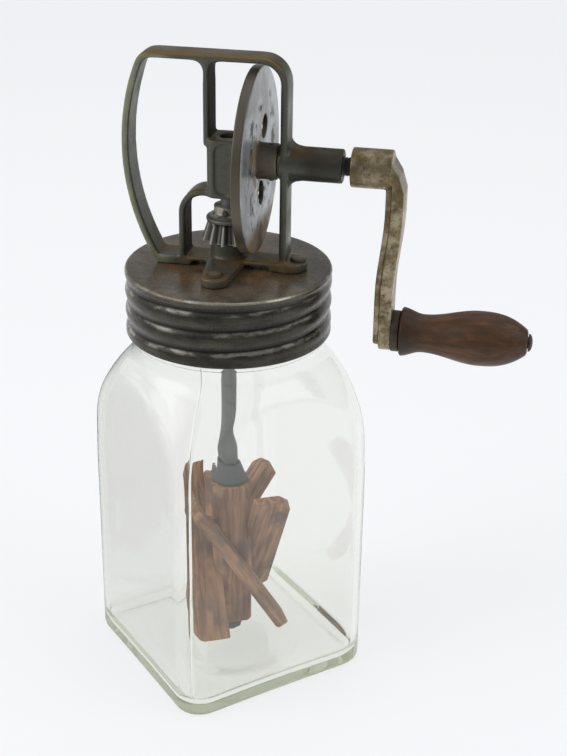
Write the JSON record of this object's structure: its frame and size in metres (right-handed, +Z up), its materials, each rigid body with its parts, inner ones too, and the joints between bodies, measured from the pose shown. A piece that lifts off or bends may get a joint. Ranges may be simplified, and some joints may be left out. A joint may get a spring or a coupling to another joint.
{
  "type": "glass jar butter churn",
  "caption": "Hand-cranked butter churn: a square glass jar with a screw lid, a cast frame with a carrying loop and bevel gears, and a wooden dasher.",
  "frame": {"origin": "middle of the jar's flat foot, on the axis of the dasher shaft", "axes": "+Z up along the dasher shaft, +X along the crank shaft towards the crank, so the front faces -Y"},
  "size_m": [0.2313, 0.1504, 0.3397],
  "materials": {
    "jar_glass": "clear, with a faint green-grey tint",
    "seal_rubber": "matt",
    "lid_tinplate": "rusty tinplate with worn bright bead crests",
    "frame_iron": "dark grey with a brown patina",
    "rivet_iron": "dark, with brown rust",
    "gear_iron": "light grey face, streaked with rust",
    "pin_steel": "dull",
    "shaft_steel": "dark",
    "crank_plating": "flaking nickel plate over iron",
    "collar_steel": "dark",
    "grip_wood": "semi-gloss varnish",
    "spindle_steel": "dark",
    "pinion_iron": "dark",
    "socket_steel": "dull",
    "paddle_wood": "bare"
  },
  "bodies": {
    "jar": {"glass_jar": "jar_glass"},
    "seal": {"lid_seal_ring": "seal_rubber"},
    "lid": {"lid_cap": "lid_tinplate", "frame_casting": "frame_iron", "frame_rivets": "rivet_iron"},
    "crank": {"drive_gear": "gear_iron", "gear_pin": "pin_steel", "crank_shaft": "shaft_steel", "crank_arm": "crank_plating", "handle_collar": "collar_steel", "handle_spindle": "spindle_steel"},
    "handle": {"handle_grip": "grip_wood"},
    "dasher": {"pinion": "pinion_iron", "pinion_pin": "pin_steel", "dasher_shaft": "shaft_steel", "paddle_socket": "socket_steel", "paddle_hub": "paddle_wood", "paddle_blade_1": "paddle_wood", "paddle_blade_2": "paddle_wood", "paddle_blade_3": "paddle_wood", "paddle_blade_4": "paddle_wood", "paddle_washer": "socket_steel", "paddle_nut": "socket_steel"}
  },
  "joints": [
    {"name": "lid_lift", "type": "slide", "parent": "jar", "child": "seal", "axis": [0, 0, 1], "range_m": [0, 0.016]},
    {"name": "lid_turn", "type": "hinge", "parent": "seal", "child": "lid", "pos_m": [0, 0, 0.2315], "axis": [0, 0, 1], "range_deg": [0, 540]},
    {"name": "crank_turn", "type": "hinge", "parent": "lid", "child": "crank", "pos_m": [0.0417, 0, 0.2871], "axis": [1, 0, 0], "continuous": true},
    {"name": "handle_spin", "type": "hinge", "parent": "crank", "child": "handle", "pos_m": [0.1216, 0, 0.2026], "axis": [1, 0, 0], "continuous": true},
    {"name": "dasher_spin", "type": "hinge", "parent": "lid", "child": "dasher", "pos_m": [0, 0, 0.238], "axis": [0, 0, 1], "continuous": true}
  ],
  "couplings": [
    {"joint": "lid_lift", "follows": "lid_turn", "m_per_rad": 0.001687},
    {"joint": "dasher_spin", "follows": "crank_turn", "ratio": 3.5}
  ]
}
